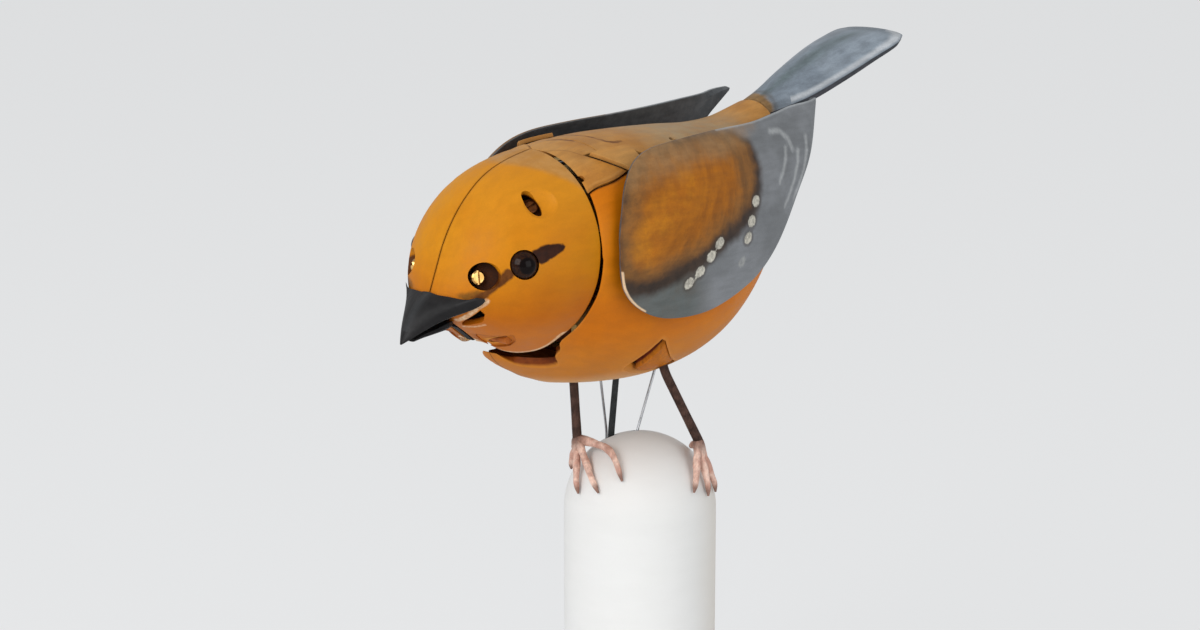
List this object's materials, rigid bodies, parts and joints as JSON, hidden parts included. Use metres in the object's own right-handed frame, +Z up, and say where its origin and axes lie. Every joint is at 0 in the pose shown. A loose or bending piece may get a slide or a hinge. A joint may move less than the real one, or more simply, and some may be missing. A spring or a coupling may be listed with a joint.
{
  "type": "singing bird automaton",
  "caption": "Carved songbird on a domed white post; finger levers in the base open its beak, lift its wings and lower its tail through push rods.",
  "frame": {"origin": "middle of the base's underside", "axes": "+Z up along the post; the bird faces -Y and its left side is +X"},
  "size_m": [0.11, 0.2054, 0.2524],
  "materials": {
    "ochre": "orange-brown paint on carved wood",
    "tan": "tan paint on carved wood",
    "wing_grey": "grey paint on carved wood",
    "tail_blue": "blue-grey paint on carved wood",
    "beak_black": "satin black paint",
    "eye_glass": "polished dark glass eye",
    "leg_brown": "dark brown paint on wire",
    "toe_pink": "pinkish brown paint",
    "post_white": "matt white",
    "brass": "satin",
    "steel": "drawn wire and turned pins",
    "black_rubber": "matt black sleeve",
    "pear_wood": "oiled",
    "kid_leather": "soft bellows leather"
  },
  "bodies": {
    "stand": {"base_plate": "post_white", "base_cover": "post_white", "perch_post": "post_white", "lever_bracket": "brass", "lever_pin": "steel", "song_spring": "steel", "tail_spring": "steel", "wing_spring": "steel", "bellows_lower_board": "pear_wood", "bellows_leather": "kid_leather", "whistle_pipe": "brass", "frame_plate_left": "brass", "frame_plate_right": "brass", "frame_spacer": "steel", "tail_pin": "steel", "crank_pin": "steel", "neck_bracket": "pear_wood", "belly_shell": "ochre", "nape_plate_left": "tan", "nape_plate_right": "tan", "shoulder_plate_left": "tan", "shoulder_plate_right": "tan", "mantle_plate": "tan", "rump_cover": "tan", "leg_left": "leg_brown", "leg_right": "leg_brown", "foot_left": "toe_pink", "foot_right": "toe_pink"},
    "song_key": {"song_lever": "brass"},
    "tail_key": {"tail_lever": "brass"},
    "wing_key": {"wing_lever": "brass"},
    "bellows_top": {"bellows_upper_board": "pear_wood"},
    "song_wire": {"song_rod": "steel"},
    "bell_crank": {"song_crank": "brass"},
    "rear_link": {"beak_link_rear": "steel"},
    "head_yoke": {"neck_yoke": "brass", "nod_pin_left": "steel", "nod_pin_right": "steel"},
    "head": {"head_core": "pear_wood", "head_shell_left": "ochre", "head_shell_right": "ochre", "eye_left": "eye_glass", "eye_right": "eye_glass", "upper_beak": "beak_black", "jaw_pin": "steel"},
    "front_link": {"beak_link_front": "steel"},
    "jaw": {"lower_beak": "beak_black"},
    "tail_wire": {"tail_rod": "steel"},
    "tail": {"tail_arm": "brass", "tail_plate": "tail_blue"},
    "wing_wire": {"wing_rod": "black_rubber", "wing_yoke": "brass"},
    "left_wing": {"wing_left": "wing_grey", "wing_arm_left": "steel"},
    "right_wing": {"wing_right": "wing_grey", "wing_arm_right": "steel"}
  },
  "joints": [
    {"name": "song_key_press", "type": "hinge", "parent": "stand", "child": "song_key", "pos_m": [0, -0.025, 0.024], "axis": [-1, 0, 0], "range_deg": [0, 8], "stiffness_Nm_per_rad": 0.6, "springref_deg": -5.73, "deforming": ["song_spring"]},
    {"name": "tail_key_press", "type": "hinge", "parent": "stand", "child": "tail_key", "pos_m": [0, -0.025, 0.024], "axis": [-1, 0, 0], "range_deg": [0, 8], "stiffness_Nm_per_rad": 0.6, "springref_deg": -5.73, "deforming": ["tail_spring"]},
    {"name": "wing_key_press", "type": "hinge", "parent": "stand", "child": "wing_key", "pos_m": [0, -0.025, 0.024], "axis": [-1, 0, 0], "range_deg": [0, 8], "stiffness_Nm_per_rad": 0.6, "springref_deg": -5.73, "deforming": ["wing_spring"]},
    {"name": "bellows_squeeze", "type": "hinge", "parent": "stand", "child": "bellows_top", "pos_m": [-0.032, -0.024, 0.01035], "axis": [-1, 0, 0], "range_deg": [0, 8.5], "deforming": ["bellows_leather"]},
    {"name": "song_wire_pull", "type": "slide", "parent": "stand", "child": "song_wire", "axis": [0, 0, -1], "range_m": [0, 0.0031]},
    {"name": "song_crank_turn", "type": "hinge", "parent": "stand", "child": "bell_crank", "pos_m": [0, -0.009, 0.192], "axis": [1, 0, 0], "range_deg": [0, 17.7]},
    {"name": "rear_link_push", "type": "slide", "parent": "stand", "child": "rear_link", "axis": [0, -1, 0], "range_m": [0, 0.0031]},
    {"name": "head_turn", "type": "hinge", "parent": "stand", "child": "head_yoke", "pos_m": [0, -0.052, 0.202], "axis": [0, 0, 1], "range_deg": [-10, 10]},
    {"name": "head_nod", "type": "hinge", "parent": "head_yoke", "child": "head", "pos_m": [0, -0.052, 0.202], "axis": [1, 0, 0], "range_deg": [0, 9]},
    {"name": "front_link_push", "type": "slide", "parent": "head", "child": "front_link", "axis": [0, -1, 0], "range_m": [0, 0.0031]},
    {"name": "beak_open", "type": "hinge", "parent": "head", "child": "jaw", "pos_m": [0, -0.0684, 0.1834], "axis": [1, 0, 0], "range_deg": [0, 9.6]},
    {"name": "tail_wire_pull", "type": "slide", "parent": "stand", "child": "tail_wire", "axis": [0, 0, -1], "range_m": [0, 0.0024]},
    {"name": "tail_wag", "type": "hinge", "parent": "stand", "child": "tail", "pos_m": [0, 0.03, 0.222], "axis": [-1, 0, 0], "range_deg": [0, 16.5]},
    {"name": "wing_wire_pull", "type": "slide", "parent": "stand", "child": "wing_wire", "axis": [0, 0, -1], "range_m": [0, 0.0036]},
    {"name": "left_wing_lift", "type": "hinge", "parent": "stand", "child": "left_wing", "pos_m": [0.016, 0, 0.222], "axis": [0, -1, 0], "range_deg": [0, 20.1]},
    {"name": "right_wing_lift", "type": "hinge", "parent": "stand", "child": "right_wing", "pos_m": [-0.016, 0, 0.222], "axis": [0, 1, 0], "range_deg": [0, 20.1]}
  ],
  "couplings": [
    {"joint": "bellows_squeeze", "follows": "song_key_press", "ratio": 1.05},
    {"joint": "song_wire_pull", "follows": "song_key_press", "m_per_rad": 0.022},
    {"joint": "song_crank_turn", "follows": "song_key_press", "ratio": 2.2},
    {"joint": "rear_link_push", "follows": "song_key_press", "m_per_rad": 0.022},
    {"joint": "front_link_push", "follows": "song_key_press", "m_per_rad": 0.022},
    {"joint": "beak_open", "follows": "song_key_press", "ratio": 1.183},
    {"joint": "tail_wire_pull", "follows": "tail_key_press", "m_per_rad": 0.017},
    {"joint": "tail_wag", "follows": "tail_key_press", "ratio": 2.048},
    {"joint": "wing_wire_pull", "follows": "wing_key_press", "m_per_rad": 0.025},
    {"joint": "left_wing_lift", "follows": "wing_key_press", "ratio": 2.5},
    {"joint": "right_wing_lift", "follows": "wing_key_press", "ratio": 2.5}
  ]
}
